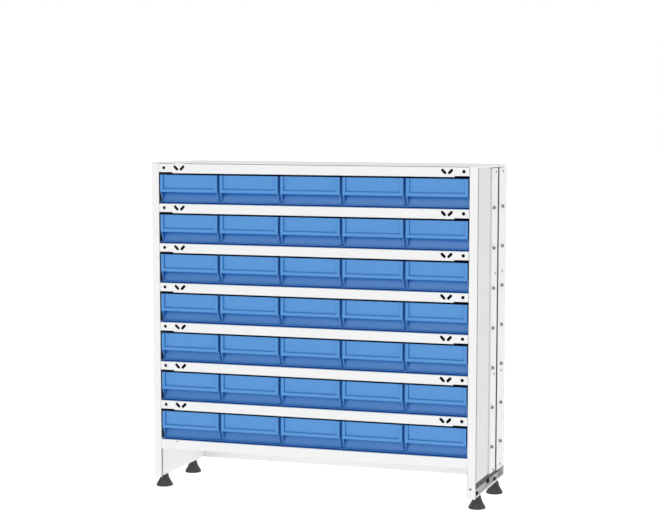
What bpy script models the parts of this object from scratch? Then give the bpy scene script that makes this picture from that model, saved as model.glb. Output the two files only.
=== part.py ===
"""Shelf-bin rack: a bolted sheet-steel rack with closed sides and back, on four
levelling feet, holding seven rows of five pull-out plastic bins.

Metres, +Z up. The origin is on the floor, under the middle of the rack. The front
faces -Y, so a bin is pulled out along -Y. Rows count from the top, columns from the left.
"""

import bpy
import bmesh
from math import cos, pi, radians, sin
from mathutils import Matrix, Vector

# ---------------------------------------------------------------- driving dimensions
ROWS, COLUMNS = 7, 5
PITCH = 0.1140  # shelf top to shelf top
CLEAR_WIDTH = 0.920  # between the faces of the two front posts
POST_FACE = 0.0229  # width of a front post's face
DEPTH = 0.335  # front face to rear edge of the rear posts
FOOT_HEIGHT = 0.0356  # floor to the lower end of the front posts
BASE_HEIGHT = 0.1130  # lower end of the front posts to the bottom shelf's top
COVER_RISE = 0.0045  # top cover above the level of one more shelf
GAP = 0.0003  # clearance between pieces that touch

SHELF_SHEET = 0.0012
POST_SHEET = 0.0015
FLANGE = 0.0266  # height of a shelf's front, side and rear flanges
HEM = 0.009  # return along the lower edge of a front flange
SHELF_DEPTH = 0.3129
FOLD = 0.010  # depth of the posts' and side panels' returns

END_HOLE = (0.0160, 0.0048)  # from the flange's end, radius
END_SLOTS = (0.0535, 0.0728)  # from the flange's end
HOLE_DROP = 0.0116  # holes and slots below the shelf's top
SLOT_LENGTH, SLOT_WIDTH = 0.018, 0.0080
END_CUT = (0.0425, 0.003)  # raised lower edge at a flange's ends: length, height

FRONT_LEG_IN, FRONT_LEG_OUT = 0.020, 0.004
FRONT_LEG_X, FRONT_HEM = 0.008, 0.0036  # inner leg, outward from the hemmed edge
PANEL_SPAN = (0.0118, 0.140)  # raised half of the side panel, from the front face
PANEL_REAR = 0.332  # rear edge of the side panel
MID_SPAN = (0.163, 0.228)  # middle post
REAR_SPAN = (0.2465, 0.335)  # rear post
REAR_FLANGE, REAR_LIP = 0.0275, 0.010
PANEL_BOTTOM, MID_BOTTOM, REAR_BOTTOM = 0.079, 0.074, 0.068  # lower ends
REAR_TAB_BOTTOM = 0.0356  # lower end of the rear post's rear flange
COVER_LIP = 0.0075  # side and rear flanges of the top cover
POST_TOP_GAP = 0.0022

RAIL_WEB_X = 0.0060  # base rail's web, outward of the posts' inner faces
RAIL_TOP = 0.1207
RAIL_TOP_FLANGE = 0.0050
RAIL_LIP = 0.0055  # upturned edge of the lower flange
BACK_SHEET = 0.0012

FOOT_X = 0.0153  # foot's axis, outward of the posts' inner faces
FOOT_Y = (0.0518, 0.2528)  # front and rear feet, from the front face
FOOT_RADIUS, FOOT_RIM = 0.0245, 0.0035
FOOT_NECK = 0.0110
STUD_RADIUS, STUD_TOP = 0.004, 0.0475
STUD_HOLE = 0.0044
FOOT_SIDES = 20

BIN_WIDTH, BIN_LENGTH, BIN_HEIGHT = 0.182, 0.300, 0.082
LIP_WIDTH = 0.176  # label lip and gussets, narrower than the bin behind them
BIN_SETBACK = 0.0005  # bin lip behind the shelf flange's face
BIN_WALL = 0.0022
LIP_BOTTOM = 0.033  # lower edge of the label lip
CHEEK_TOP, CHEEK_LOW = 0.003, 0.0160  # side wall's front edge under the lip, and low down
CHEEK_HEIGHT = 0.007  # where that edge meets the finger recess's back wall
GRIP_TOP = 0.0225  # finger recess's back wall, at its top
LEDGE_FRONT = 0.0010  # base's front ledge, under the finger recess
LEDGE_TOP = (0.0056, 0.0018)  # its top at the front and at the recess's back wall
GROOVE_FLOOR, GROOVE_ROOF, GROOVE_BACK = 0.0006, (0.0049, 0.0028), 0.0100  # in its front

# ---------------------------------------------------------------- derived dimensions
LEVEL = FOOT_HEIGHT + BASE_HEIGHT + ROWS * PITCH
HEIGHT = LEVEL + COVER_RISE
HALF = CLEAR_WIDTH / 2
OUTER = HALF + POST_FACE
FRONT = -DEPTH / 2
SHELF_HALF = OUTER - FOLD - POST_SHEET - GAP
FLANGE_HALF = HALF - GAP
COLUMN_PITCH = CLEAR_WIDTH / COLUMNS

for old in list(bpy.data.objects):
    bpy.data.objects.remove(old, do_unlink=True)


def collection(name, hidden=False):
    made = bpy.data.collections.new(name)
    bpy.context.scene.collection.children.link(made)
    made.hide_render = hidden
    return made


RACK = collection("shelf_bin_rack")
CUTTERS = collection("cutters", hidden=True)


def material(name, colour, roughness, metallic=0.0):
    made = bpy.data.materials.new(name)
    made.use_nodes = True
    shader = made.node_tree.nodes["Principled BSDF"]
    shader.inputs["Base Color"].default_value = (*colour, 1.0)
    shader.inputs["Roughness"].default_value = roughness
    shader.inputs["Metallic"].default_value = metallic
    return made


WHITE = material("white_powder_coat", (0.87, 0.87, 0.87), 0.42)
GREY = material("pale_grey_powder_coat", (0.76, 0.76, 0.765), 0.45)
BLUE = material("blue_plastic", (0.07, 0.25, 0.62), 0.38)
DARK = material("dark_plastic", (0.045, 0.042, 0.040), 0.6)


def placed(name, mesh, finish, where=(0.0, 0.0, 0.0), group=RACK, parent=None):
    made = bpy.data.objects.new(name, mesh)
    if not mesh.materials:
        mesh.materials.append(finish)
    group.objects.link(made)
    made.location = where
    made.parent = parent
    return made


def cutter(name, mesh):
    made = placed(name, mesh, DARK, group=CUTTERS)
    made.hide_render = True
    made.display_type = "WIRE"
    return made


def cut(target, tool):
    step = target.modifiers.new("cut_" + tool.name, "BOOLEAN")
    step.operation = "DIFFERENCE"
    step.solver = "EXACT"
    step.object = tool


def baked(made):
    """The object's mesh with its modifiers applied; the object itself is removed."""
    bpy.context.view_layer.update()
    graph = bpy.context.evaluated_depsgraph_get()
    mesh = bpy.data.meshes.new_from_object(made.evaluated_get(graph))
    mesh.name = made.name
    bpy.data.objects.remove(made, do_unlink=True)
    return mesh


def from_bmesh(name, shape):
    mesh = bpy.data.meshes.new(name)
    shape.to_mesh(mesh)
    shape.free()
    return mesh


def extruded(shape, outline, along):
    """Adds a closed prism: the flat outline, moved by the vector along."""
    face = shape.faces.new([shape.verts.new(p) for p in outline])
    moved = bmesh.ops.extrude_face_region(shape, geom=[face])["geom"]
    bmesh.ops.translate(
        shape, vec=along, verts=[v for v in moved if isinstance(v, bmesh.types.BMVert)]
    )


def prism(name, *parts):
    """One mesh of closed prisms, each an (outline, along) pair."""
    shape = bmesh.new()
    for outline, along in parts:
        extruded(shape, outline, along)
    bmesh.ops.recalc_face_normals(shape, faces=shape.faces)
    return from_bmesh(name, shape)


def solidified(made, thickness):
    """Gives an open sheet its thickness, on the side away from its normals."""
    step = made.modifiers.new("sheet", "SOLIDIFY")
    step.thickness = thickness
    step.offset = -1.0
    step.use_even_offset = True
    step.use_quality_normals = True
    return made


def folded(name, path, along, outward, thickness, finish):
    """A bent sheet: a path of points drawn out along a vector. outward is the way its
    first fold faces; the thickness goes the other way."""
    shape = bmesh.new()
    low = [shape.verts.new(p) for p in path]
    high = [shape.verts.new(Vector(p) + Vector(along)) for p in path]
    for i in range(len(path) - 1):
        shape.faces.new((low[i], low[i + 1], high[i + 1], high[i]))
    shape.faces.ensure_lookup_table()
    shape.normal_update()
    if shape.faces[0].normal.dot(Vector(outward)) < 0:
        bmesh.ops.reverse_faces(shape, faces=shape.faces[:])
    return solidified(placed(name, from_bmesh(name, shape), finish), thickness)


def fold_down(shape, ends, drop, hem=None):
    """Folds a flange off the plate's edge between two points, with a hem below it."""
    first, last = (
        min(shape.verts, key=lambda v, p=Vector(p): (v.co - p).length) for p in ends
    )
    edge = shape.edges.get((first, last))
    for step in (Vector((0, 0, -drop)), hem):
        if step is None:
            continue
        made = bmesh.ops.extrude_edge_only(shape, edges=[edge])["geom"]
        bmesh.ops.translate(
            shape, vec=step, verts=[v for v in made if isinstance(v, bmesh.types.BMVert)]
        )
        edge = next(
            e
            for e in made
            if isinstance(e, bmesh.types.BMEdge)
            and all(v in made for v in e.verts)
        )


def pan(name, outline, flanges, finish):
    """A sheet plate with flanges folded down from some of its edges; plate top at z = 0."""
    shape = bmesh.new()
    face = shape.faces.new([shape.verts.new(p) for p in outline])
    face.normal_update()
    if face.normal.z < 0:
        face.normal_flip()
    for ends, drop, hem in flanges:
        fold_down(shape, ends, drop, hem)
    bmesh.ops.recalc_face_normals(shape, faces=shape.faces)
    shape.normal_update()
    if max(shape.faces, key=lambda f: f.calc_area()).normal.z < 0:
        bmesh.ops.reverse_faces(shape, faces=shape.faces[:])
    return solidified(placed(name, from_bmesh(name, shape), finish), SHELF_SHEET)


def box_outline(x0, x1, z0, z1, y):
    return [(x0, y, z0), (x1, y, z0), (x1, y, z1), (x0, y, z1)]


def stadium(x, z, length, width, angle, y, sides=5):
    """Outline of a round-ended slot on the plane y, turned about its middle."""
    points = []
    half = (length - width) / 2
    for end in (1, -1):
        for i in range(sides + 1):
            turn = -pi / 2 + pi * i / sides
            u = end * (half + width / 2 * cos(turn))
            v = end * width / 2 * sin(turn)
            points.append(
                (x + u * cos(angle) - v * sin(angle), y, z + u * sin(angle) + v * cos(angle))
            )
    return points


def ring(x, z, radius, y, sides=10):
    return [
        (x + radius * cos(2 * pi * i / sides), y, z + radius * sin(2 * pi * i / sides))
        for i in range(sides)
    ]


# ---------------------------------------------------------------- shelves and top cover
def flange_cutters(name, drop):
    """Round hole and pair of slanted slots near both ends of a front flange, and the
    raised lower edge at its ends. drop: how far the plate lies above the shelf level."""
    through = Vector((0, 0.008, 0))
    y = FRONT - 0.004
    z = -drop - HOLE_DROP
    low = -drop - FLANGE
    holes, corners = [], []
    for side in (-1, 1):
        end = side * FLANGE_HALF
        holes.append((ring(end - side * END_HOLE[0], z, END_HOLE[1], y), through))
        near, far = (end - side * run for run in END_SLOTS)
        for x, angle in ((min(near, far), -45), (max(near, far), 45)):
            holes.append((stadium(x, z, SLOT_LENGTH, SLOT_WIDTH, radians(angle), y), through))
        inner, outer = sorted((end - side * END_CUT[0], end + side * 0.003))
        corners.append(
            (box_outline(inner, outer, low - 0.004, low + END_CUT[1], y), Vector((0, 0.020, 0)))
        )
    return (
        cutter(name + "_hole_cutter", prism(name + "_hole_cutter", *holes)),
        cutter(name + "_end_cutter", prism(name + "_end_cutter", *corners)),
    )


def shelf_pan(name):
    rear = FRONT + SHELF_DEPTH
    notch = FRONT + FRONT_LEG_IN + 0.001
    relief = 0.003
    outline = []
    for side in (-1, 1):
        corner = [
            (side * FLANGE_HALF, FRONT, 0),
            (side * FLANGE_HALF, notch, 0),
            (side * SHELF_HALF, notch, 0),
            (side * SHELF_HALF, rear - relief, 0),
            (side * (SHELF_HALF - relief), rear - relief, 0),
            (side * (SHELF_HALF - relief), rear, 0),
        ]
        outline += corner if side > 0 else corner[::-1]
    flanges = [
        (((-FLANGE_HALF, FRONT, 0), (FLANGE_HALF, FRONT, 0)), FLANGE, Vector((0, HEM, 0))),
        (((SHELF_HALF - relief, rear, 0), (-SHELF_HALF + relief, rear, 0)), FLANGE, None),
    ]
    for side in (-1, 1):
        x = side * SHELF_HALF
        flanges.append((((x, notch, 0), (x, rear - relief, 0)), FLANGE, None))
    return pan(name, outline, flanges, WHITE)


def cover_pan(name):
    rear = FRONT + DEPTH
    relief = 0.0025
    start = FRONT + FRONT_LEG_OUT + 2 * GAP
    outline = []
    for side in (-1, 1):
        corner = [
            (side * FLANGE_HALF, FRONT, 0),
            (side * OUTER, FRONT, 0),
            (side * OUTER, start, 0),
            (side * OUTER, rear - relief, 0),
            (side * (OUTER - relief), rear - relief, 0),
            (side * (OUTER - relief), rear, 0),
        ]
        outline += corner if side > 0 else corner[::-1]
    flanges = [
        (
            ((-FLANGE_HALF, FRONT, 0), (FLANGE_HALF, FRONT, 0)),
            FLANGE + COVER_RISE,
            Vector((0, HEM, 0)),
        ),
        (((OUTER - relief, rear, 0), (-OUTER + relief, rear, 0)), COVER_LIP, None),
    ]
    for side in (-1, 1):
        x = side * OUTER
        flanges.append((((x, start, 0), (x, rear - relief, 0)), COVER_LIP, None))
    return pan(name, outline, flanges, WHITE)


def shelf_height(row):
    """Top of the shelf that carries a row, counted from the top."""
    return LEVEL - row * PITCH


cover = cover_pan("top_cover_master")
for tool in flange_cutters("cover", COVER_RISE):
    cut(cover, tool)
placed("top_cover", baked(cover), WHITE, (0, 0, HEIGHT))

slotted = shelf_pan("shelf_master")
for tool in flange_cutters("shelf", 0.0):
    cut(slotted, tool)
slotted_mesh = baked(slotted)
for row in range(1, ROWS):
    placed(f"shelf_{row}", slotted_mesh, WHITE, (0, 0, shelf_height(row)))
placed("bottom_shelf", baked(shelf_pan("bottom_master")), WHITE, (0, 0, shelf_height(ROWS)))

# ---------------------------------------------------------------- sides
FLAT_TOP = HEIGHT - SHELF_SHEET - GAP
POST_TOP = HEIGHT - COVER_LIP - POST_TOP_GAP
PANEL_TOP = HEIGHT - COVER_LIP - GAP

for word, side in (("left", -1), ("right", 1)):

    def at(x, y, z=0.0):
        return (side * x, FRONT + y, z)

    out = (side, 0, 0)
    forward = (0, -1, 0)

    # Front post: a face whose inner edge is hemmed back to a deep leg, and a shallow outer leg.
    folded(
        f"{word}_front_post",
        [
            at(HALF + FRONT_LEG_X, FRONT_LEG_IN, FOOT_HEIGHT),
            at(HALF + FRONT_LEG_X, FRONT_HEM, FOOT_HEIGHT),
            at(HALF, FRONT_HEM, FOOT_HEIGHT),
            at(HALF, 0, FOOT_HEIGHT),
            at(OUTER, 0, FOOT_HEIGHT),
            at(OUTER, FRONT_LEG_OUT, FOOT_HEIGHT),
        ],
        (0, 0, FLAT_TOP - FOOT_HEIGHT),
        (-side, 0, 0),
        POST_SHEET,
        WHITE,
    )
    # Side panel: its front half is raised to the posts' faces, and its rear half runs
    # behind the middle and rear posts, so that the side is closed.
    folded(
        f"{word}_side_panel",
        [
            at(OUTER, PANEL_SPAN[0], PANEL_BOTTOM),
            at(OUTER, PANEL_SPAN[1], PANEL_BOTTOM),
            at(OUTER - FOLD, PANEL_SPAN[1], PANEL_BOTTOM),
            at(OUTER - FOLD, PANEL_REAR, PANEL_BOTTOM),
        ],
        (0, 0, PANEL_TOP - PANEL_BOTTOM),
        out,
        POST_SHEET,
        GREY,
    )
    # Middle post: a face with a return along both edges, on the side panel.
    folded(
        f"{word}_middle_post",
        [
            at(OUTER - FOLD + GAP, MID_SPAN[0], MID_BOTTOM),
            at(OUTER, MID_SPAN[0], MID_BOTTOM),
            at(OUTER, MID_SPAN[1], MID_BOTTOM),
            at(OUTER - FOLD + GAP, MID_SPAN[1], MID_BOTTOM),
        ],
        (0, 0, POST_TOP - MID_BOTTOM),
        forward,
        POST_SHEET,
        WHITE,
    )
    # Rear post: wraps the rear corner, with a lip along its rear flange, which reaches
    # lower than the side face and closes the rail's end.
    rear_post = folded(
        f"{word}_rear_post",
        [
            at(OUTER, REAR_SPAN[0], REAR_TAB_BOTTOM),
            at(OUTER, REAR_SPAN[1], REAR_TAB_BOTTOM),
            at(OUTER - REAR_FLANGE, REAR_SPAN[1], REAR_TAB_BOTTOM),
            at(OUTER - REAR_FLANGE, REAR_SPAN[1] - REAR_LIP, REAR_TAB_BOTTOM),
        ],
        (0, 0, POST_TOP - REAR_TAB_BOTTOM),
        out,
        POST_SHEET,
        WHITE,
    )
    x0, y0, _ = at(OUTER - REAR_FLANGE - 0.01, REAR_SPAN[0] - 0.01)
    x1, y1, _ = at(OUTER + 0.01, REAR_SPAN[1] - POST_SHEET + GAP)
    notch = f"{word}_notch_cutter"
    corner = ([(x0, y0, 0), (x1, y0, 0), (x1, y1, 0), (x0, y1, 0)], Vector((0, 0, REAR_BOTTOM)))
    cut(rear_post, cutter(notch, prism(notch, corner)))
    # Base rail: a channel open to the outside, whose lower flange takes the feet.
    web = HALF + RAIL_WEB_X
    start = FRONT_LEG_IN + 0.002
    rail = folded(
        f"{word}_base_rail",
        [
            at(OUTER - GAP, start, FOOT_HEIGHT + RAIL_LIP),
            at(OUTER - GAP, start, FOOT_HEIGHT),
            at(web, start, FOOT_HEIGHT),
            at(web, start, RAIL_TOP),
            at(web + RAIL_TOP_FLANGE, start, RAIL_TOP),
        ],
        (0, REAR_SPAN[1] - 0.002 - start, 0),
        out,
        POST_SHEET,
        WHITE,
    )
    holes = []
    for y in FOOT_Y:
        x0, y0, _ = at(HALF + FOOT_X, y)
        circle = [
            (x0 + STUD_HOLE * cos(2 * pi * i / 16), y0 + STUD_HOLE * sin(2 * pi * i / 16), FOOT_HEIGHT - 0.004)
            for i in range(16)
        ]
        holes.append((circle, Vector((0, 0, 0.010))))
    cut(rail, cutter(f"{word}_stud_hole_cutter", prism(f"{word}_stud_hole_cutter", *holes)))

# ---------------------------------------------------------------- back panel
back_front = FRONT + SHELF_DEPTH + GAP
BACK_HALF = HALF + RAIL_WEB_X - GAP
placed(
    "back_panel",
    prism(
        "back_panel",
        (
            box_outline(-BACK_HALF, BACK_HALF, FOOT_HEIGHT, FLAT_TOP, back_front),
            Vector((0, BACK_SHEET, 0)),
        ),
    ),
    WHITE,
)


# ---------------------------------------------------------------- feet
def foot_profile():
    """Axis to axis, from the stud's top down to the base: stud, bell and rim."""
    points = [(0.0, STUD_TOP), (STUD_RADIUS, STUD_TOP)]
    shoulder = FOOT_HEIGHT - GAP
    points += [(STUD_RADIUS, shoulder), (FOOT_NECK, shoulder)]
    steps = 5
    for i in range(1, steps + 1):
        t = i / steps
        points.append(
            (
                FOOT_NECK + (FOOT_RADIUS - FOOT_NECK) * t**1.2,
                shoulder + (FOOT_RIM - shoulder) * (1 - (1 - t) ** 1.15),
            )
        )
    points += [(FOOT_RADIUS - 0.0008, 0.0), (0.0, 0.0)]
    return points


def foot_mesh():
    shape = bmesh.new()
    verts = [shape.verts.new((r, 0, z)) for r, z in foot_profile()]
    for a, b in zip(verts, verts[1:]):
        shape.edges.new((a, b))
    made = placed("foot_master", from_bmesh("foot_master", shape), DARK)
    turn = made.modifiers.new("turn", "SCREW")
    turn.axis = "Z"
    turn.steps = turn.render_steps = FOOT_SIDES
    turn.use_merge_vertices = True
    turn.merge_threshold = 0.0001
    turn.use_smooth_shade = True
    mesh = baked(made)
    mesh.set_sharp_from_angle(angle=radians(40))
    return mesh


foot = foot_mesh()
for word, side in (("left", -1), ("right", 1)):
    for place, y in zip(("front", "rear"), FOOT_Y):
        placed(f"{place}_{word}_foot", foot, DARK, (side * (HALF + FOOT_X), FRONT + y, 0))


# ---------------------------------------------------------------- bins
def bin_mesh():
    """Open bin with a label lip across its front and a finger recess under the lip. Its
    origin is at the middle of its front edge, on the shelf."""
    half, lip_half = BIN_WIDTH / 2, LIP_WIDTH / 2
    wall = BIN_WALL
    body_front = CHEEK_LOW + 0.0006

    def side(points, x):
        return [(x, y, z) for y, z in points]

    shell = [
        (0, BIN_HEIGHT),
        (0, LIP_BOTTOM),
        (CHEEK_TOP, LIP_BOTTOM),
        (CHEEK_LOW, CHEEK_HEIGHT),
        (CHEEK_LOW, LEDGE_TOP[1]),
        (LEDGE_FRONT, LEDGE_TOP[0]),
        (LEDGE_FRONT, GROOVE_ROOF[0]),
        (GROOVE_BACK, GROOVE_ROOF[1]),
        (GROOVE_BACK, GROOVE_FLOOR),
        (LEDGE_FRONT, GROOVE_FLOOR),
        (LEDGE_FRONT, 0),
        (BIN_LENGTH, 0),
        (BIN_LENGTH, BIN_HEIGHT),
    ]
    hollow = [
        (GRIP_TOP + wall, BIN_HEIGHT + 0.01),
        (GRIP_TOP + wall, LIP_BOTTOM),
        (CHEEK_LOW + wall, CHEEK_HEIGHT),
        (CHEEK_LOW + wall, wall),
        (BIN_LENGTH - wall, wall),
        (BIN_LENGTH - wall, BIN_HEIGHT + 0.01),
    ]
    grip = [
        (CHEEK_TOP - 0.005, LIP_BOTTOM),
        (GRIP_TOP, LIP_BOTTOM),
        (CHEEK_LOW, CHEEK_HEIGHT),
        (CHEEK_LOW - 0.002, CHEEK_HEIGHT),
    ]
    lip_hollow = [
        (wall, BIN_HEIGHT + 0.01),
        (wall, LIP_BOTTOM + wall),
        (GRIP_TOP + 3 * wall, LIP_BOTTOM + wall),
        (GRIP_TOP + 3 * wall, BIN_HEIGHT + 0.01),
    ]
    shoulder = [
        (-0.01, CHEEK_HEIGHT),
        (body_front, CHEEK_HEIGHT),
        (body_front, 0.1),
        (-0.01, 0.1),
    ]
    made = placed("bin_master", prism("bin_master", (side(shell, -half), Vector((2 * half, 0, 0)))), BLUE)
    step = Vector((half - lip_half + 0.01, 0, 0))
    cut(
        made,
        cutter(
            "bin_shoulder_cutter",
            prism(
                "bin_shoulder_cutter",
                (side(shoulder, lip_half), step),
                (side(shoulder, -lip_half), -step),
            ),
        ),
    )
    lip_inner = lip_half - wall
    for name, outline, inner in (
        ("bin_hollow_cutter", hollow, half - wall),
        ("bin_lip_cutter", lip_hollow, lip_inner),
        ("bin_grip_cutter", grip, lip_inner),
    ):
        cut(made, cutter(name, prism(name, (side(outline, -inner), Vector((2 * inner, 0, 0))))))
    return baked(made)


one_bin = bin_mesh()
for row in range(1, ROWS + 1):
    for column in range(1, COLUMNS + 1):
        placed(
            f"bin_row{row}_col{column}",
            one_bin,
            BLUE,
            (
                (column - (COLUMNS + 1) / 2) * COLUMN_PITCH,
                FRONT + BIN_SETBACK,
                shelf_height(row) + GAP,
            ),
        )
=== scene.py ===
"""Looks of the shelf-bin rack: detailed bins, folded sheet-metal pieces, fasteners and feet
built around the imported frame. Metres, +Z up, front faces -Y."""

from math import atan, cos, pi, radians, sin

import bmesh
import bpy
from mathutils import Matrix, Vector


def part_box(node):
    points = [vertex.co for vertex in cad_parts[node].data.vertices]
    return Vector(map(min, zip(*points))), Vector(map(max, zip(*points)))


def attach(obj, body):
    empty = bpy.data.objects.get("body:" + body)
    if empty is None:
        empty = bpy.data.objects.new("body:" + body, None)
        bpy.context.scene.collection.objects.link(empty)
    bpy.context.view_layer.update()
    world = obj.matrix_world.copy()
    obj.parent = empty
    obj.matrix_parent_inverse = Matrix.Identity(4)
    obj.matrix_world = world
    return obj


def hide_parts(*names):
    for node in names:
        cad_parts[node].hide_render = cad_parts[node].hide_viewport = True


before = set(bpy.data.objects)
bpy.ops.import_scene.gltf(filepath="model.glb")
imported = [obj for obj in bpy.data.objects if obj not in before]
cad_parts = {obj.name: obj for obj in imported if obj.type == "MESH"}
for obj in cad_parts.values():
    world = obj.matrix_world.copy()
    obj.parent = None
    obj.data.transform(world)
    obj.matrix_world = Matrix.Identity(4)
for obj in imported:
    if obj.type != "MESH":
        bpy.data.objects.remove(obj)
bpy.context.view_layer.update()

scene = bpy.context.scene

# ------------------------------------------------------------------ sizes, as in the CAD
ROWS, COLUMNS = 7, 5
PITCH = 0.1140
CLEAR = 0.920
DEPTH = 0.335
LEVEL = 0.9466
COVER_RISE = 0.0045
HEIGHT = LEVEL + COVER_RISE
HALF = CLEAR / 2
OUTER = HALF + 0.0229
FRONT = -DEPTH / 2
GAP = 0.0003
FOLD = 0.010
FLANGE, HEM = 0.0266, 0.009
SHELF_SHEET, POST_SHEET = 0.0012, 0.0015
SHELF_DEPTH = 0.3129
SHELF_HALF = OUTER - FOLD - POST_SHEET - GAP
FLANGE_HALF = HALF - 0.0008
FOOT_HEIGHT = 0.0356
COVER_LIP = 0.0075
PANEL_SPAN, MID_SPAN, REAR_SPAN = (0.0118, 0.140), (0.163, 0.228), (0.2465, 0.335)
PANEL_REAR = 0.332
PANEL_BOTTOM, MID_BOTTOM, REAR_BOTTOM = 0.079, 0.074, 0.068
REAR_TAB_BOTTOM = 0.0356
FLAT_TOP = HEIGHT - SHELF_SHEET - GAP
POST_TOP = HEIGHT - COVER_LIP - 0.0022
PANEL_TOP = HEIGHT - COVER_LIP - GAP
RAIL_WEB = HALF + 0.0060
RAIL_TOP = 0.1207
FOOT_X, FOOT_Y = HALF + 0.0153, (0.0518, 0.2528)
BIN_WIDTH, BIN_LENGTH, BIN_HEIGHT = 0.182, 0.300, 0.082
LIP_WIDTH = 0.176
BIN_FRONT = FRONT + 0.0005
COLUMN = CLEAR / COLUMNS


def shelf_top(row):
    return LEVEL - row * PITCH


# ------------------------------------------------------------------ materials
def node(tree, kind, **values):
    made = tree.nodes.new(kind)
    for key, value in values.items():
        if key in made.inputs:
            made.inputs[key].default_value = value
        else:
            setattr(made, key, value)
    return made


def noise(tree, coord, scale, detail=2.0, roughness=0.5):
    made = tree.nodes.new("ShaderNodeTexNoise")
    made.inputs["Scale"].default_value = scale
    made.inputs["Detail"].default_value = detail
    made.inputs["Roughness"].default_value = roughness
    tree.links.new(coord, made.inputs["Vector"])
    return made.outputs["Fac"]


def spread(tree, source, low, high, from_low=0.3, from_high=0.7):
    made = tree.nodes.new("ShaderNodeMapRange")
    made.inputs["From Min"].default_value = from_low
    made.inputs["From Max"].default_value = from_high
    made.inputs["To Min"].default_value = low
    made.inputs["To Max"].default_value = high
    tree.links.new(source, made.inputs["Value"])
    return made.outputs["Result"]


def mixed(tree, factor, first, second):
    made = tree.nodes.new("ShaderNodeMix")
    made.data_type = "RGBA"
    tree.links.new(factor, made.inputs["Factor"])
    for socket, colour in ((made.inputs["A"], first), (made.inputs["B"], second)):
        if isinstance(colour, tuple):
            socket.default_value = (*colour, 1.0)
        else:
            tree.links.new(colour, socket)
    return made.outputs["Result"]


def finish(
    name,
    tones,
    patch,
    rough,
    rough_scale,
    grain,
    metallic=0.0,
    specular=0.5,
    coat=0.0,
    edge=None,
    speckle=None,
    painted_shade=None,
):
    """A painted, moulded or plated surface. tones: two close base colours mixed over patches
    of the given scale; rough: lowest and highest roughness; grain: (scale, height in metres,
    strength) of the fine relief; edge: lighter colour mixed in along sharp convex edges;
    speckle: (scale, colour); painted_shade: (reach in metres, colour) of painted shade that
    darkens narrow corners, gaps and recesses, where the specular is lowered too."""
    made = bpy.data.materials.new(name)
    made.use_nodes = True
    tree = made.node_tree
    shader = tree.nodes["Principled BSDF"]
    shader.inputs["Metallic"].default_value = metallic
    shader.inputs["Specular IOR Level"].default_value = specular
    if coat:
        shader.inputs["Coat Weight"].default_value = coat
        shader.inputs["Coat Roughness"].default_value = 0.2
    coord = tree.nodes.new("ShaderNodeTexCoord").outputs["Object"]
    colour = mixed(tree, spread(tree, noise(tree, coord, patch, 3.0), 0.0, 1.0), *tones)
    if speckle:
        dots = spread(tree, noise(tree, coord, speckle[0], 1.0), 0.0, 0.35, 0.62, 0.78)
        colour = mixed(tree, dots, colour, speckle[1])
    # Lighter colour mixed in along sharp convex edges, where the mesh's pointiness is high.
    if edge:
        edge_pointiness = tree.nodes.new("ShaderNodeNewGeometry").outputs["Pointiness"]
        colour = mixed(tree, spread(tree, edge_pointiness, 0.0, 0.55, 0.52, 0.62), colour, edge)
    # Painted shade: the colour goes dark and the specular drops wherever ambient occlusion finds a narrow
    # corner, gap or recess close by.
    if painted_shade:
        occlusion = tree.nodes.new("ShaderNodeAmbientOcclusion")
        occlusion.samples, occlusion.only_local = 8, True
        occlusion.inputs["Distance"].default_value = painted_shade[0]
        colour = mixed(tree, spread(tree, occlusion.outputs["AO"], 1.0, 0.0, 0.25, 0.80), colour, painted_shade[1])
        tree.links.new(
            spread(tree, occlusion.outputs["AO"], 0.04, specular, 0.25, 0.80),
            shader.inputs["Specular IOR Level"],
        )
    tree.links.new(colour, shader.inputs["Base Color"])
    tree.links.new(
        spread(tree, noise(tree, coord, rough_scale, 4.0, 0.6), *rough),
        shader.inputs["Roughness"],
    )
    scale, height, strength = grain
    bump = tree.nodes.new("ShaderNodeBump")
    bump.inputs["Strength"].default_value = strength
    bump.inputs["Distance"].default_value = height
    tree.links.new(noise(tree, coord, scale, 2.0, 0.55), bump.inputs["Height"])
    tree.links.new(bump.outputs["Normal"], shader.inputs["Normal"])
    return made


WHITE = finish(
    "powder_coat_white",
    ((0.835, 0.838, 0.838), (0.855, 0.856, 0.853)),
    9.0,
    (0.36, 0.47),
    40.0,
    (850.0, 0.00010, 0.20),
    speckle=(1500.0, (0.80, 0.80, 0.795)),
)
# Painted shade: a darker copy of the white coat, for the raised side panel whose face sits dimmer than the white
# posts beside it.
WHITE_IN_SHADE = finish(
    "powder_coat_white_painted_shade",
    ((0.712, 0.714, 0.719), (0.732, 0.733, 0.735)),
    9.0,
    (0.38, 0.50),
    40.0,
    (850.0, 0.00010, 0.20),
    speckle=(1500.0, (0.68, 0.68, 0.685)),
)
BLUE = finish(
    "moulded_blue",
    ((0.068, 0.266, 0.625), (0.076, 0.280, 0.645)),
    14.0,
    (0.34, 0.46),
    60.0,
    (1400.0, 0.00006, 0.25),
    # Painted shade in deep blue for the bins' gaps, grip recess and card slots.
    painted_shade=(0.012, (0.008, 0.175, 0.590)),
)
ZINC = finish(
    "zinc_plated_steel",
    ((0.24, 0.24, 0.245), (0.31, 0.305, 0.30)),
    160.0,
    (0.26, 0.42),
    300.0,
    (2500.0, 0.00004, 0.25),
    metallic=1.0,
)
BLACK_STEEL = finish(
    "blackened_steel",
    ((0.030, 0.030, 0.031), (0.046, 0.045, 0.044)),
    160.0,
    (0.36, 0.52),
    300.0,
    (2500.0, 0.00004, 0.25),
    metallic=0.6,
)
DARK = finish(
    "moulded_dark",
    ((0.042, 0.039, 0.037), (0.056, 0.052, 0.050)),
    70.0,
    (0.48, 0.64),
    180.0,
    (1800.0, 0.00010, 0.35),
    edge=(0.11, 0.105, 0.10),
)
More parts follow.
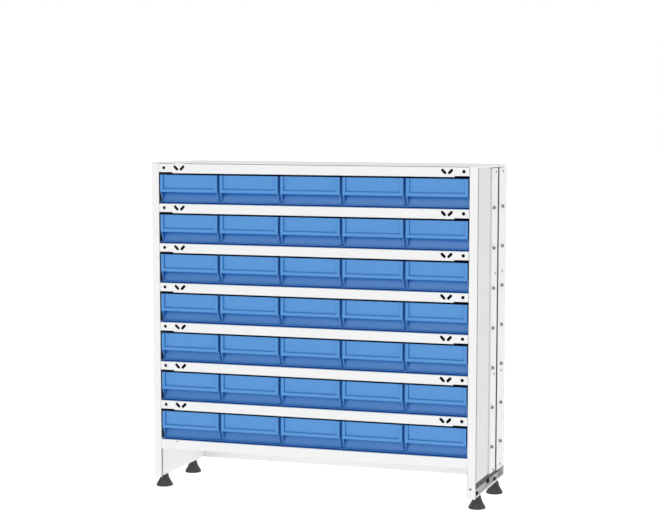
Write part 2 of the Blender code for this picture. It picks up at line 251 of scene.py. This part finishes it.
# Painted shade: a near-black finish for the strips laid where only shade falls.
SHADE_STRIP_FINISH = finish(
    "painted_shade_dark",
    ((0.060, 0.058, 0.057), (0.080, 0.077, 0.076)),
    70.0,
    (0.55, 0.70),
    180.0,
    (1800.0, 0.00010, 0.35),
)


# ------------------------------------------------------------------ mesh tools
def temp_object(name, mesh):
    made = bpy.data.objects.new(name, mesh)
    scene.collection.objects.link(made)
    return made


def to_mesh(name, shape):
    mesh = bpy.data.meshes.new(name)
    shape.to_mesh(mesh)
    shape.free()
    return mesh


def baked(made):
    bpy.context.view_layer.update()
    graph = bpy.context.evaluated_depsgraph_get()
    mesh = bpy.data.meshes.new_from_object(made.evaluated_get(graph))
    bpy.data.objects.remove(made, do_unlink=True)
    return mesh


def cut(mesh, *tools, operation="DIFFERENCE"):
    """The mesh with each tool mesh cut from it, or joined to it."""
    made = temp_object("cutting", mesh)
    others = []
    for tool in tools:
        other = temp_object("tool", tool)
        others.append(other)
        step = made.modifiers.new("cut", "BOOLEAN")
        step.operation = operation
        step.solver = "EXACT"
        step.object = other
    result = baked(made)
    for other in others:
        bpy.data.objects.remove(other, do_unlink=True)
    return result


def shaded(mesh, angle=32.0):
    """Smooth shading with sharp edges above the angle, flat faces kept flat."""
    mesh.shade_smooth()
    mesh.set_sharp_from_angle(angle=radians(angle))
    made = temp_object("shading", mesh)
    step = made.modifiers.new("normals", "WEIGHTED_NORMAL")
    step.keep_sharp = True
    step.weight = 80
    return baked(made)


def edges_where(shape, test):
    return [e for e in shape.edges if all(test(v.co) for v in e.verts)]


def rounded(shape, edges, radius, segments=3):
    bmesh.ops.bevel(
        shape,
        geom=list(dict.fromkeys(edges)),
        offset=radius,
        offset_type="OFFSET",
        segments=segments,
        profile=0.5,
        affect="EDGES",
        clamp_overlap=True,
    )


def prism_shape(outline, along):
    shape = bmesh.new()
    face = shape.faces.new([shape.verts.new(p) for p in outline])
    moved = bmesh.ops.extrude_face_region(shape, geom=[face])["geom"]
    bmesh.ops.translate(
        shape,
        vec=Vector(along),
        verts=[v for v in moved if isinstance(v, bmesh.types.BMVert)],
    )
    bmesh.ops.recalc_face_normals(shape, faces=shape.faces)
    return shape


def box_shape(low, high):
    x0, y0, z0 = low
    x1, y1, z1 = high
    return prism_shape(
        [(x0, y0, z0), (x1, y0, z0), (x1, y1, z0), (x0, y1, z0)], (0, 0, z1 - z0)
    )


def joined(shapes):
    """One bmesh from several; the others are freed."""
    first = shapes[0]
    for other in shapes[1:]:
        mesh = to_mesh("part", other)
        first.from_mesh(mesh)
        bpy.data.meshes.remove(mesh)
    return first


def lathe(profile, steps):
    """Turned closed shape from (radius, height) points, running from the axis at one end
    to the axis at the other; a zero radius is a pole."""
    shape = bmesh.new()
    rings = []
    for r, z in profile:
        if r < 1e-9:
            rings.append([shape.verts.new((0, 0, z))])
        else:
            rings.append(
                [
                    shape.verts.new((r * cos(2 * pi * i / steps), r * sin(2 * pi * i / steps), z))
                    for i in range(steps)
                ]
            )
    for a, b in zip(rings, rings[1:]):
        for i in range(steps):
            j = (i + 1) % steps
            if len(a) == 1:
                shape.faces.new((a[0], b[i], b[j]))
            elif len(b) == 1:
                shape.faces.new((a[i], b[0], a[j]))
            else:
                shape.faces.new((a[i], b[i], b[j], a[j]))
    bmesh.ops.recalc_face_normals(shape, faces=shape.faces)
    return shape


def arc(centre, radius, start, end, count):
    """Points of an arc in a (radius, height) profile, angles in degrees."""
    return [
        (
            centre[0] + radius * cos(radians(start + (end - start) * i / count)),
            centre[1] + radius * sin(radians(start + (end - start) * i / count)),
        )
        for i in range(count + 1)
    ]


def copies(shape, matrices):
    """The shape repeated at each matrix, as one bmesh."""
    mesh = to_mesh("repeat", shape)
    made = bmesh.new()
    for matrix in matrices:
        part = mesh.copy()
        part.transform(matrix)
        if matrix.determinant() < 0:
            part.flip_normals()
        made.from_mesh(part)
        bpy.data.meshes.remove(part)
    bpy.data.meshes.remove(mesh)
    return made


def facing(place, way):
    """Turns a shape whose axis is +Z to face a direction, at a place."""
    return Matrix.Translation(place) @ Vector(way).to_track_quat("Z", "Y").to_matrix().to_4x4()


def piece(name, mesh, finish_, body, nodes=(), where=(0, 0, 0)):
    mesh.materials.clear()
    mesh.materials.append(finish_)
    made = bpy.data.objects.new(name, mesh)
    scene.collection.objects.link(made)
    made.location = where
    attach(made, body)
    if nodes:
        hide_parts(*nodes)
    return made


# ------------------------------------------------------------------ sheet metal
def sheet(shape, thickness, radius, segments=5):
    """Closed mesh of a folded sheet from its outer surface: folds get a bend radius, and the
    thickness goes to the inside."""
    shape.normal_update()
    folds = [
        e for e in shape.edges if len(e.link_faces) == 2 and e.calc_face_angle(0.0) > radians(20)
    ]
    rounded(shape, folds, radius, segments)
    made = temp_object("sheet", to_mesh("sheet", shape))
    step = made.modifiers.new("sheet", "SOLIDIFY")
    step.thickness = thickness
    step.offset = -1.0
    step.use_even_offset = True
    step.use_quality_normals = True
    return baked(made)


def folded_shape(path, along, outward):
    """Open surface: a path drawn out along a vector; outward is the way its first face looks."""
    shape = bmesh.new()
    low = [shape.verts.new(p) for p in path]
    high = [shape.verts.new(Vector(p) + Vector(along)) for p in path]
    for i in range(len(path) - 1):
        shape.faces.new((low[i], low[i + 1], high[i + 1], high[i]))
    shape.faces.ensure_lookup_table()
    shape.normal_update()
    if shape.faces[0].normal.dot(Vector(outward)) < 0:
        bmesh.ops.reverse_faces(shape, faces=shape.faces[:])
    return shape


def pan_shape(outline, flanges):
    """Open surface: a plate at z = 0 with flanges folded down off some edges, and a hem."""
    shape = bmesh.new()
    shape.faces.new([shape.verts.new(p) for p in outline])
    for ends, drop, hem in flanges:
        first, last = (
            min(shape.verts, key=lambda v, p=Vector(p): (v.co - p).length) for p in ends
        )
        edge = shape.edges.get((first, last))
        for step in (Vector((0, 0, -drop)), hem):
            if step is None:
                continue
            made = bmesh.ops.extrude_edge_only(shape, edges=[edge])["geom"]
            bmesh.ops.translate(
                shape, vec=step, verts=[v for v in made if isinstance(v, bmesh.types.BMVert)]
            )
            edge = next(
                e
                for e in made
                if isinstance(e, bmesh.types.BMEdge) and all(v in made for v in e.verts)
            )
    bmesh.ops.recalc_face_normals(shape, faces=shape.faces)
    shape.normal_update()
    if max(shape.faces, key=lambda f: f.calc_area()).normal.z < 0:
        bmesh.ops.reverse_faces(shape, faces=shape.faces[:])
    return shape


def stadium(x, z, length, width, angle, y, sides=10):
    points = []
    half = (length - width) / 2
    for end in (1, -1):
        for i in range(sides + 1):
            turn = -pi / 2 + pi * i / sides
            u = end * (half + width / 2 * cos(turn))
            v = end * width / 2 * sin(turn)
            points.append(
                (x + u * cos(angle) - v * sin(angle), y, z + u * sin(angle) + v * cos(angle))
            )
    return points


def flange_holes(drop=0.0):
    """Cutter: a round hole and a pair of slanted slots near both ends of a front flange.
    drop: how far the plate lies above the level of a shelf."""
    y, z = FRONT - 0.004, -drop - 0.0116
    through = (0, 0.0075, 0)
    parts = []
    for side in (-1, 1):
        end = side * (HALF - GAP)
        x, r = end - side * 0.0160, 0.0048
        ring = [
            (x + r * cos(2 * pi * i / 32), y, z + r * sin(2 * pi * i / 32)) for i in range(32)
        ]
        parts.append(prism_shape(ring, through))
        near, far = sorted((end - side * 0.0535, end - side * 0.0728))
        for x, angle in ((near, -45), (far, 45)):
            parts.append(prism_shape(stadium(x, z, 0.018, 0.0080, radians(angle), y), through))
    return to_mesh("holes", joined(parts))


def flange_ends(drop=0.0):
    """Cutter: the raised lower edge at a front flange's ends."""
    y, z = FRONT - 0.004, -drop - FLANGE
    parts = []
    for side in (-1, 1):
        inner, outer = sorted((side * (HALF - 0.0425), side * (HALF + 0.004)))
        parts.append(box_shape((inner, y, z - 0.004), (outer, y + 0.020, z + 0.003)))
    return to_mesh("ends", joined(parts))


def shelf_shape():
    rear, notch, relief = FRONT + SHELF_DEPTH, FRONT + 0.021, 0.003
    outline = []
    for side in (-1, 1):
        corner = [
            (side * FLANGE_HALF, FRONT, 0),
            (side * FLANGE_HALF, notch, 0),
            (side * SHELF_HALF, notch, 0),
            (side * SHELF_HALF, rear - relief, 0),
            (side * (SHELF_HALF - relief), rear - relief, 0),
            (side * (SHELF_HALF - relief), rear, 0),
        ]
        outline += corner if side > 0 else corner[::-1]
    flanges = [
        (((-FLANGE_HALF, FRONT, 0), (FLANGE_HALF, FRONT, 0)), FLANGE, Vector((0, HEM, 0))),
        (((SHELF_HALF - relief, rear, 0), (-SHELF_HALF + relief, rear, 0)), FLANGE, None),
    ]
    for side in (-1, 1):
        x = side * SHELF_HALF
        flanges.append((((x, notch, 0), (x, rear - relief, 0)), FLANGE, None))
    return pan_shape(outline, flanges)


def cover_shape():
    rear, relief = FRONT + DEPTH, 0.0025
    start = FRONT + 0.0046
    outline = []
    for side in (-1, 1):
        corner = [
            (side * FLANGE_HALF, FRONT, 0),
            (side * OUTER, FRONT, 0),
            (side * OUTER, start, 0),
            (side * OUTER, rear - relief, 0),
            (side * (OUTER - relief), rear - relief, 0),
            (side * (OUTER - relief), rear, 0),
        ]
        outline += corner if side > 0 else corner[::-1]
    flanges = [
        (
            ((-FLANGE_HALF, FRONT, 0), (FLANGE_HALF, FRONT, 0)),
            FLANGE + COVER_RISE,
            Vector((0, HEM, 0)),
        ),
        (((OUTER - relief, rear, 0), (-OUTER + relief, rear, 0)), COVER_LIP, None),
    ]
    for side in (-1, 1):
        x = side * OUTER
        flanges.append((((x, start, 0), (x, rear - relief, 0)), COVER_LIP, None))
    return pan_shape(outline, flanges)


BEND = 0.0018

shelf_sheet = sheet(shelf_shape(), SHELF_SHEET, BEND)
slotted = shaded(cut(shelf_sheet, flange_holes(), flange_ends()))
for row in range(1, ROWS):
    piece(
        f"shelf_{row}_sheet",
        slotted,
        WHITE,
        "rack",
        (f"shelf_{row}",),
        (0, 0, shelf_top(row)),
    )
piece(
    "bottom_shelf_sheet",
    shaded(sheet(shelf_shape(), SHELF_SHEET, BEND)),
    WHITE,
    "rack",
    ("bottom_shelf",),
    (0, 0, shelf_top(ROWS)),
)
# The seam under the cover's front edge, a narrow slot along the flange.
seam = to_mesh(
    "seam",
    box_shape((-HALF + 0.002, FRONT - 0.002, -0.0044), (HALF - 0.002, FRONT + 0.004, -0.0030)),
)
cover = cut(
    sheet(cover_shape(), SHELF_SHEET, BEND), flange_holes(COVER_RISE), flange_ends(COVER_RISE), seam
)
piece(
    "top_cover_sheet",
    shaded(cover),
    WHITE,
    "rack",
    ("top_cover",),
    (0, 0, HEIGHT),
)

for word, side in (("left", -1), ("right", 1)):

    def at(x, y, z=0.0):
        return (side * x, FRONT + y, z)

    forward = (0, -1, 0)
    folded = {
        "front_post": (
            [
                at(HALF + 0.008, 0.020, FOOT_HEIGHT),
                at(HALF + 0.008, 0.0036, FOOT_HEIGHT),
                at(HALF, 0.0036, FOOT_HEIGHT),
                at(HALF, 0, FOOT_HEIGHT),
                at(OUTER, 0, FOOT_HEIGHT),
                at(OUTER, 0.004, FOOT_HEIGHT),
            ],
            FLAT_TOP - FOOT_HEIGHT,
            (-side, 0, 0),
            WHITE,
        ),
        "side_panel": (
            [
                at(OUTER, PANEL_SPAN[0], PANEL_BOTTOM),
                at(OUTER, PANEL_SPAN[1], PANEL_BOTTOM),
                at(OUTER - FOLD, PANEL_SPAN[1], PANEL_BOTTOM),
                at(OUTER - FOLD, PANEL_REAR, PANEL_BOTTOM),
            ],
            PANEL_TOP - PANEL_BOTTOM,
            (side, 0, 0),
            # The raised side panel takes the darker copy of the white coat, as painted shade.
            WHITE_IN_SHADE,
        ),
        "middle_post": (
            [
                at(OUTER - FOLD + GAP, MID_SPAN[0], MID_BOTTOM),
                at(OUTER, MID_SPAN[0], MID_BOTTOM),
                at(OUTER, MID_SPAN[1], MID_BOTTOM),
                at(OUTER - FOLD + GAP, MID_SPAN[1], MID_BOTTOM),
            ],
            POST_TOP - MID_BOTTOM,
            forward,
            WHITE,
        ),
        "rear_post": (
            [
                at(OUTER, REAR_SPAN[0], REAR_TAB_BOTTOM),
                at(OUTER, REAR_SPAN[1], REAR_TAB_BOTTOM),
                at(OUTER - 0.0275, REAR_SPAN[1], REAR_TAB_BOTTOM),
                at(OUTER - 0.0275, REAR_SPAN[1] - 0.010, REAR_TAB_BOTTOM),
            ],
            POST_TOP - REAR_TAB_BOTTOM,
            (side, 0, 0),
            WHITE,
        ),
    }
    for name, (path, rise, outward, paint) in folded.items():
        radius = 0.0015 if name == "front_post" else 0.0028 if name == "side_panel" else 0.0020
        mesh = sheet(folded_shape(path, (0, 0, rise), outward), POST_SHEET, radius)
        if name == "rear_post":
            # The rear flange reaches lower than the side face.
            x0, x1 = sorted((side * (OUTER - 0.0375), side * (OUTER + 0.01)))
            y0, y1 = FRONT + REAR_SPAN[0] - 0.01, FRONT + REAR_SPAN[1] - POST_SHEET + GAP
            notch = box_shape((x0, y0, 0.0), (x1, y1, REAR_BOTTOM))
            mesh = cut(mesh, to_mesh("notch", notch))
        piece(
            f"{word}_{name}_sheet",
            shaded(mesh),
            paint,
            "rack",
            (f"{word}_{name}",),
        )
    start = 0.022
    rail = sheet(
        folded_shape(
            [
                at(OUTER - GAP, start, FOOT_HEIGHT + 0.0055),
                at(OUTER - GAP, start, FOOT_HEIGHT),
                at(RAIL_WEB, start, FOOT_HEIGHT),
                at(RAIL_WEB, start, RAIL_TOP),
                at(RAIL_WEB + 0.0050, start, RAIL_TOP),
            ],
            (0, REAR_SPAN[1] - 0.002 - start, 0),
            (side, 0, 0),
        ),
        POST_SHEET,
        0.0020,
    )
    holes = []
    for y in FOOT_Y:
        x0, y0, _ = at(FOOT_X, y)
        holes.append(
            prism_shape(
                [
                    (x0 + 0.0044 * cos(2 * pi * i / 32), y0 + 0.0044 * sin(2 * pi * i / 32), FOOT_HEIGHT - 0.004)
                    for i in range(32)
                ],
                (0, 0, 0.010),
            )
        )
    piece(
        f"{word}_base_rail_sheet",
        shaded(cut(rail, to_mesh("stud_holes", joined(holes)))),
        WHITE,
        "rack",
        (f"{word}_base_rail",),
    )

# Near-black strips that paint shade: along each rail's web under the edge of the side panel, and along the
# hemmed inner edge of each front post, below the shelves.
strips = []
for side in (-1, 1):
    x0, x1 = sorted((side * (RAIL_WEB + POST_SHEET + 0.0001), side * (RAIL_WEB + POST_SHEET + 0.0022)))
    strip = box_shape((x0, FRONT + 0.0240, 0.0497), (x1, FRONT + 0.3310, 0.0890))
    rounded(strip, strip.edges[:], 0.0008, 3)
    strips.append(strip)
    x0, x1 = sorted((side * (HALF - 0.0010), side * (HALF - 0.0001)))
    strip = box_shape((x0, FRONT + 0.0014, 0.0372), (x1, FRONT + 0.0030, 0.1190))
    rounded(strip, strip.edges[:], 0.0003, 2)
    strips.append(strip)
piece(
    "painted_shade_strips", shaded(to_mesh("strips", joined(strips))), SHADE_STRIP_FINISH, "rack"
)

# Back panel: a flat sheet with slightly rounded edges.
low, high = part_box("back_panel")
panel = box_shape(low, high)
rounded(panel, panel.edges[:], 0.0003, 2)
piece(
    "back_panel_sheet", shaded(to_mesh("back_panel", panel)), WHITE, "rack", ("back_panel",)
)


# ------------------------------------------------------------------ bins
def bin_mesh():
    """Moulded bin: label lip with a raised frame, finger recess with side gussets, ledge with
    a groove under it, rim, and divider slots inside. Origin at the middle of its front edge,
    on the shelf."""
    half, lip_half = BIN_WIDTH / 2, LIP_WIDTH / 2
    inner, lip_inner = half - 0.0030, lip_half - 0.0030
    mm = 0.001

    def at_x(points, x):
        return [(x, y * mm, z * mm) for y, z in points]

    length, top = BIN_LENGTH / mm, BIN_HEIGHT / mm
    outer = [
        (0, top),
        (0, 33.0),
        (3.0, 33.0),
        (16.0, 7.0),
        (16.0, 1.8),
        (1.0, 5.6),
        (1.0, 4.9),
        (10.0, 2.8),
        (10.0, 0.6),
        (1.0, 0.6),
        (1.0, 0),
        (length, 0),
        (length, top),
    ]
    body = prism_shape(at_x(outer, -half), (2 * half, 0, 0))
    near = lambda a, b: abs(a - b) < 1e-5
    rounded(
        body,
        edges_where(body, lambda c: near(abs(c.x), half) and near(c.y, BIN_LENGTH)),
        0.004,
        4,
    )
    # The lip and the gussets are narrower than the bin behind them.
    shoulders = []
    for side in (-1, 1):
        x0, x1 = sorted((side * lip_half, side * (half + 0.01)))
        shoulders.append(box_shape((x0, -0.01, 0.0070), (x1, 0.0166, 0.1)))
    # Side walls stand in from the rim.
    pockets = []
    for side in (-1, 1):
        x0, x1 = sorted((side * (half - 0.0011), side * (half + 0.01)))
        pockets.append(box_shape((x0, 0.032, -0.01), (x1, BIN_LENGTH - 0.012, 0.0725)))
    # Inside, with rounded corners; ribs stand in pairs for dividers.
    hollow_outline = [
        (25.0, top + 10),
        (25.0, 33.0),
        (18.6, 7.0),
        (18.6, 2.2),
        (length - 2.4, 2.2),
        (length - 2.4, top + 10),
    ]
    hollow = prism_shape(at_x(hollow_outline, -inner), (2 * inner, 0, 0))
    rounded(
        hollow,
        [
            e
            for e in hollow.edges
            if all(near(v.co.z, 0.0022) and abs(v.co.x) > inner - 1e-6 for v in e.verts)
            and e.calc_length() > 0.1
        ]
        + edges_where(
            hollow, lambda c: near(c.y, BIN_LENGTH - 0.0024) and near(abs(c.x), inner)
        )
        + edges_where(hollow, lambda c: near(c.y, BIN_LENGTH - 0.0024) and near(c.z, 0.0022)),
        0.0028,
        3,
    )
    ribs = []
    for side in (-1, 1):
        for place in (0.085, 0.155, 0.225):
            for offset in (-0.0022, 0.0022):
                x0, x1 = sorted((side * (inner - 0.0010), side * (inner + 0.004)))
                y = place + offset
                ribs.append(box_shape((x0, y - 0.0006, -0.002), (x1, y + 0.0006, 0.066)))
    hollow_mesh = cut(to_mesh("hollow", hollow), to_mesh("ribs", joined(ribs)))
    lip_hollow = prism_shape(
        at_x([(8.4, top + 10), (8.4, 36.2), (28.0, 36.2), (28.0, top + 10)], -lip_inner),
        (2 * lip_inner, 0, 0),
    )
    grip_half = lip_half - 0.0026
    grip = prism_shape(
        at_x([(-2.0, 33.0), (22.5, 33.0), (16.0, 7.0), (14.0, 7.0)], -grip_half),
        (2 * grip_half, 0, 0),
    )
    recess_half = lip_half - 0.0090
    # The label pocket is open at the top, where its card goes in.
    recess = box_shape((-recess_half, -0.005, 0.0420), (recess_half, 0.0030, 0.1))
    # A slot runs behind the frame along the bottom and one side, for the card's edges.
    slot_width, slot_back = 0.0026, 0.0037
    card_slots = [
        box_shape((-recess_half, 0.0, 0.0420), (recess_half, slot_back, 0.0420 + slot_width)),
        box_shape((-recess_half, 0.0, 0.0420), (-recess_half + slot_width, slot_back, 0.1)),
    ]
    mesh = cut(
        to_mesh("bin", body),
        to_mesh("shoulders", joined(shoulders)),
        to_mesh("pockets", joined(pockets)),
        hollow_mesh,
        to_mesh("lip_hollow", lip_hollow),
        to_mesh("grip", grip),
        to_mesh("recess", recess),
        *(to_mesh("card_slot", slot) for slot in card_slots),
    )
    shape = bmesh.new()
    shape.from_mesh(mesh)
    bmesh.ops.remove_doubles(shape, verts=shape.verts, dist=2e-6)
    bmesh.ops.dissolve_limit(
        shape, angle_limit=radians(0.5), verts=shape.verts, edges=shape.edges
    )
    shape.normal_update()
    # Soft edges on the lip, the rim, the ledge and the label frame.
    sharp = lambda e: len(e.link_faces) == 2 and e.calc_face_angle(0.0) > radians(50)

    def soften(radius, test):
        rounded(shape, [e for e in edges_where(shape, test) if sharp(e)], radius, 2)
        shape.normal_update()

    soften(0.0006, lambda c: near(c.z, BIN_HEIGHT))
    soften(0.0005, lambda c: abs(c.y) < 2e-5 and near(abs(c.x), lip_half))
    soften(0.0006, lambda c: abs(c.y) < 2e-5 and near(c.z, 0.033))
    soften(0.0002, lambda c: near(c.y, 0.001) and near(c.z, 0.0056))
    soften(
        0.0004,
        lambda c: abs(c.y) < 2e-5 and abs(c.x) < recess_half + 1e-5 and 0.0415 < c.z < 0.077,
    )
    return shaded(to_mesh("bin", shape), 30.0)


one_bin = bin_mesh()
for row in range(1, ROWS + 1):
    for column in range(1, COLUMNS + 1):
        name = f"bin_row{row}_col{column}"
        piece(
            name + "_moulding",
            one_bin,
            BLUE,
            name,
            (name,),
            ((column - 3) * COLUMN, BIN_FRONT, shelf_top(row) + GAP),
        )


# ------------------------------------------------------------------ feet
def foot_shape():
    bell = [
        (0.0110, 0.0353),
        (0.0115, 0.0340),
        (0.0120, 0.0305),
        (0.0128, 0.0272),
        (0.0138, 0.0243),
        (0.0150, 0.0214),
        (0.0164, 0.0184),
        (0.0179, 0.0155),
        (0.0197, 0.0126),
        (0.0214, 0.0099),
        (0.0228, 0.0074),
        (0.0238, 0.0050),
    ]
    rim = arc((0.0225, 0.0022), 0.0020, 50, -90, 7)
    stud = [(0.0, 0.0475), (0.0028, 0.0475), (0.0039, 0.0464)]
    z = 0.0464
    while z > 0.0375:
        stud += [(0.0034, z - 0.0005), (0.0039, z - 0.00105)]
        z -= 0.00105
    stud += [(0.0039, 0.0353)]
    return lathe(stud + bell + rim + [(0.0198, 0.0002), (0.0188, 0.0010), (0.0, 0.0010)], 64)


foot = shaded(to_mesh("foot", foot_shape()), 38.0)
for word, side in (("left", -1), ("right", 1)):
    for place, y in zip(("front", "rear"), FOOT_Y):
        name = f"{place}_{word}_foot"
        piece(
            name + "_moulding",
            foot,
            DARK,
            name,
            (name,),
            (side * FOOT_X, FRONT + y, 0),
        )


# ------------------------------------------------------------------ fasteners
def hex_prism(flats, height, chamfer):
    """Six-sided prism on z = 0 with a turned chamfer on its top."""
    r = flats / 2 / cos(radians(30))
    corners = [(r * cos(radians(60 * i)), r * sin(radians(60 * i)), 0) for i in range(6)]
    body = to_mesh("hex", prism_shape(corners, (0, 0, height)))
    dome = to_mesh(
        "dome",
        lathe(
            [
                (0.0, -0.001),
                (r * 1.2, -0.001),
                (r * 1.2, height - chamfer * 2.2),
                (flats / 2 * 0.98, height),
                (0.0, height),
            ],
            48,
        ),
    )
    return cut(body, dome, operation="INTERSECT")


def hex_bolt(flats, height, washer):
    """Hex head on a washer, standing on z = 0."""
    shape = bmesh.new()
    head = hex_prism(flats, height, 0.0006)
    head.transform(Matrix.Translation((0, 0, 0.0012)))
    shape.from_mesh(head)
    bpy.data.meshes.remove(head)
    ring = to_mesh(
        "washer",
        lathe(
            [(0.0, -0.0004), (washer, -0.0004), (washer, 0.0008), (washer - 0.0004, 0.0012), (0.0, 0.0012)],
            40,
        ),
    )
    shape.from_mesh(ring)
    bpy.data.meshes.remove(ring)
    return shape


def pan_screw(radius, height):
    """Round-headed screw with a cross recess, standing on z = 0."""
    crown = [(0.0, height)]
    count = 6
    for i in range(1, count + 1):
        a = radians(90 - 78 * i / count)
        crown.append((radius * cos(a), height * (0.25 + 0.75 * sin(a))))
    head = to_mesh("head", lathe(crown + [(radius, height * 0.2), (radius, -0.0003), (0.0, -0.0003)], 32))
    arm, deep = radius * 0.55, height * 0.45
    cross = [
        box_shape((-arm, -radius * 0.13, height - deep), (arm, radius * 0.13, height + 0.002)),
        box_shape((-radius * 0.13, -arm, height - deep), (radius * 0.13, arm, height + 0.002)),
    ]
    mesh = cut(head, *[to_mesh("arm", c) for c in cross])
    shape = bmesh.new()
    shape.from_mesh(mesh)
    bpy.data.meshes.remove(mesh)
    return shape


side_bolts, side_screws, front_screws, web_bolts = [], [], [], []
tiny_rivets, painted_rivets = [], []
for side in (-1, 1):
    out = (side, 0, 0)
    for row in range(1, ROWS + 1):
        z = shelf_top(row) - 0.0015
        for y, lift in ((0.177, 0.0006), (0.279, 0.0004)):
            side_bolts.append(facing((side * OUTER, FRONT + y, z + lift * (row - 1)), out))
    for z in (0.931, 0.6445, 0.3557, 0.0798):
        for y in (0.203, 0.286):
            side_screws.append(facing((side * OUTER, FRONT + y, z), out))
    for z in (0.6364, 0.3508):
        painted_rivets.append(facing((side * 0.4706, FRONT, z), (0, -1, 0)))
    web_bolts.append(facing((side * (RAIL_WEB + POST_SHEET), FRONT + 0.1944, 0.0485), out))
front_screws.append(facing((0.4695, FRONT, 0.0633), (0, -1, 0)))
tiny_rivets.append(facing((-0.4104, FRONT, 0.1434), (0, -1, 0)))

piece(
    "side_bolts",
    shaded(to_mesh("side_bolts", copies(hex_bolt(0.0084, 0.0054, 0.0051), side_bolts)), 30.0),
    ZINC,
    "rack",
)
piece(
    "side_screws",
    shaded(to_mesh("side_screws", copies(pan_screw(0.0036, 0.0020), side_screws)), 40.0),
    ZINC,
    "rack",
)
piece(
    "front_screws",
    shaded(to_mesh("front_screws", copies(pan_screw(0.0037, 0.0018), front_screws)), 40.0),
    ZINC,
    "rack",
)
piece(
    "flange_rivet",
    shaded(to_mesh("flange_rivet", copies(pan_screw(0.0019, 0.0008), tiny_rivets)), 40.0),
    ZINC,
    "rack",
)
piece(
    "post_rivets",
    shaded(to_mesh("post_rivets", copies(pan_screw(0.0024, 0.0010), painted_rivets)), 40.0),
    WHITE,
    "rack",
)
piece(
    "rail_bolts",
    shaded(to_mesh("rail_bolts", copies(hex_bolt(0.0130, 0.0055, 0.0085), web_bolts)), 30.0),
    BLACK_STEEL,
    "rack",
)
back_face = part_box("back_panel")[1].y
back_screws = [
    facing((x, back_face, shelf_top(row) - 0.0135), (0, 1, 0))
    for row in range(1, ROWS + 1)
    for x in (-0.42, -0.14, 0.14, 0.42)
]
piece(
    "back_screws",
    shaded(to_mesh("back_screws", copies(pan_screw(0.0036, 0.0020), back_screws)), 40.0),
    ZINC,
    "rack",
)

# ------------------------------------------------------------------ stage, light and camera
GLOW = 0.95  # floor
AMBIENT, REAR = 0.30, 0.70  # surroundings
KEY, TOP, FILL = 0.58, 0.77, 0.55  # lamps
floor_finish = bpy.data.materials.new("pale_floor")
floor_finish.use_nodes = True
shader = floor_finish.node_tree.nodes["Principled BSDF"]
shader.inputs["Base Color"].default_value = (0.35, 0.35, 0.35, 1)
shader.inputs["Roughness"].default_value = 0.9
shader.inputs["Specular IOR Level"].default_value = 0.1
shader.inputs["Emission Color"].default_value = (1, 1, 1, 1)
shader.inputs["Emission Strength"].default_value = GLOW
ground = bmesh.new()
bmesh.ops.create_grid(ground, x_segments=1, y_segments=1, size=60.0)
floor = bpy.data.objects.new("floor", to_mesh("floor", ground))
floor.data.materials.append(floor_finish)
scene.collection.objects.link(floor)

# Soft surroundings, white behind the rack.
world = bpy.data.worlds.new("studio")
scene.world = world
world.use_nodes = True
sky = world.node_tree
back = sky.nodes["Background"]
back.inputs["Color"].default_value = (1.0, 1.0, 1.0, 1)
parts = sky.nodes.new("ShaderNodeSeparateXYZ")
sky.links.new(sky.nodes.new("ShaderNodeTexCoord").outputs["Generated"], parts.inputs[0])
level = spread(sky, parts.outputs["Y"], AMBIENT, AMBIENT + REAR, 0.35, 0.80)
sky.links.new(level, back.inputs["Strength"])


def soft_sun(name, way, strength, spread_angle):
    """Distant lamp shining along a direction."""
    data = bpy.data.lights.new(name, "SUN")
    data.energy = strength
    data.angle = radians(spread_angle)
    made = bpy.data.objects.new(name, data)
    scene.collection.objects.link(made)
    made.rotation_euler = Vector(way).to_track_quat("-Z", "Y").to_euler()
    return made


soft_sun("key", (0.12, 0.90, -0.42), KEY, 30.0)
soft_sun("top", (0.05, 0.55, -0.83), TOP, 50.0)
soft_sun("fill", (-0.70, -0.25, -0.66), FILL, 24.0)

camera_data = bpy.data.cameras.new("camera")
camera = bpy.data.objects.new("camera", camera_data)
scene.collection.objects.link(camera)
camera_data.sensor_fit = "HORIZONTAL"
camera_data.sensor_width = 36.0
camera_data.lens = 88.822
camera_data.shift_x, camera_data.shift_y = -0.13266, 0.04885
camera_data.clip_start, camera_data.clip_end = 0.1, 200.0
yaw, pitch, roll = radians(16.6391), radians(5.7493), radians(0.3238)
look = Vector((-sin(yaw) * cos(pitch), cos(yaw) * cos(pitch), -sin(pitch)))
right = Vector((cos(yaw), sin(yaw), 0.0))
up = right.cross(look)
axis_x = cos(roll) * right + sin(roll) * up
axis_y = -sin(roll) * right + cos(roll) * up
turn = Matrix((axis_x, axis_y, -look)).transposed()
camera.matrix_world = Matrix.Translation((1.58811, FRONT - 4.26008, LEVEL + 0.09896)) @ turn.to_4x4()
scene.camera = camera
scene.view_settings.view_transform = "Standard"
